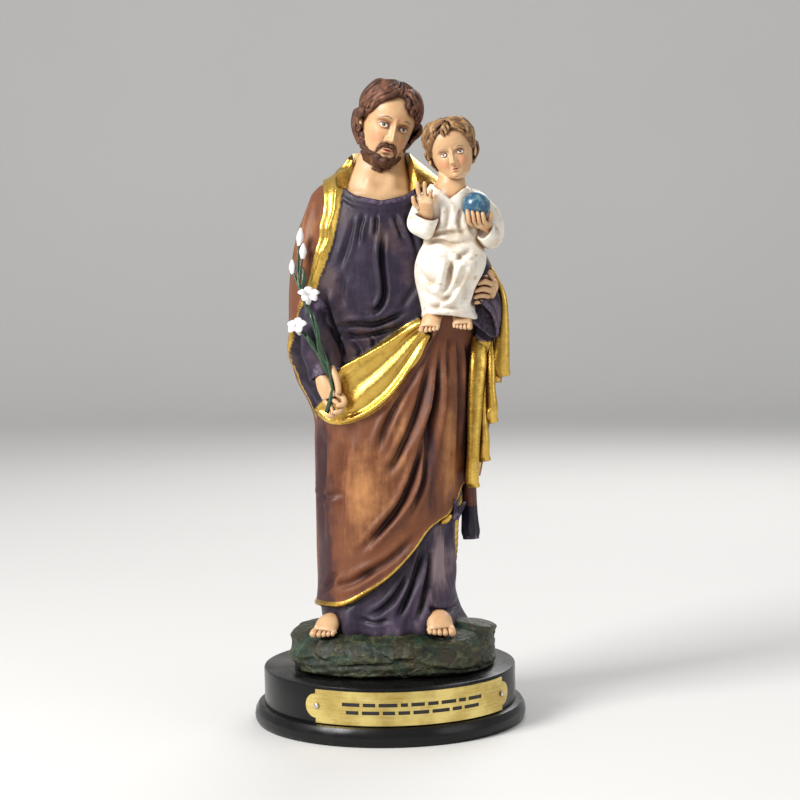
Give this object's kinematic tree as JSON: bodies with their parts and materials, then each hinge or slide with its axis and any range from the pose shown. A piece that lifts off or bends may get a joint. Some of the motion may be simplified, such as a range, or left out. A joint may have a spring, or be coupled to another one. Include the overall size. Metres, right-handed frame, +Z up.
{
  "type": "religious figurine on a plinth",
  "caption": "Painted resin figurine of a robed, bearded saint who carries a child, with a lily spray in the right hand, on a round stepped plinth with a curved brass plate.",
  "frame": {"origin": "middle of the plinth's flat underside", "axes": "+Z up, the figures look towards -Y, the child is on the +X side"},
  "size_m": [0.0868, 0.0868, 0.2032],
  "materials": {
    "painted_resin": "hand-painted resin, satin, with dark wash in the folds and gold borders",
    "painted_lily": "glossy dark green stems, white flowers",
    "black_lacquer": "black satin lacquer with small chips at the foot",
    "plate_brass": "brushed brass with dark shallow strokes",
    "pin_metal": "small bright pin heads"
  },
  "bodies": {
    "root": {"figure_casting": "painted_resin", "lily_spray": "painted_lily", "plinth": "black_lacquer", "name_plate": "plate_brass", "plate_pin_1": "pin_metal", "plate_pin_2": "pin_metal"}
  },
  "joints": []
}
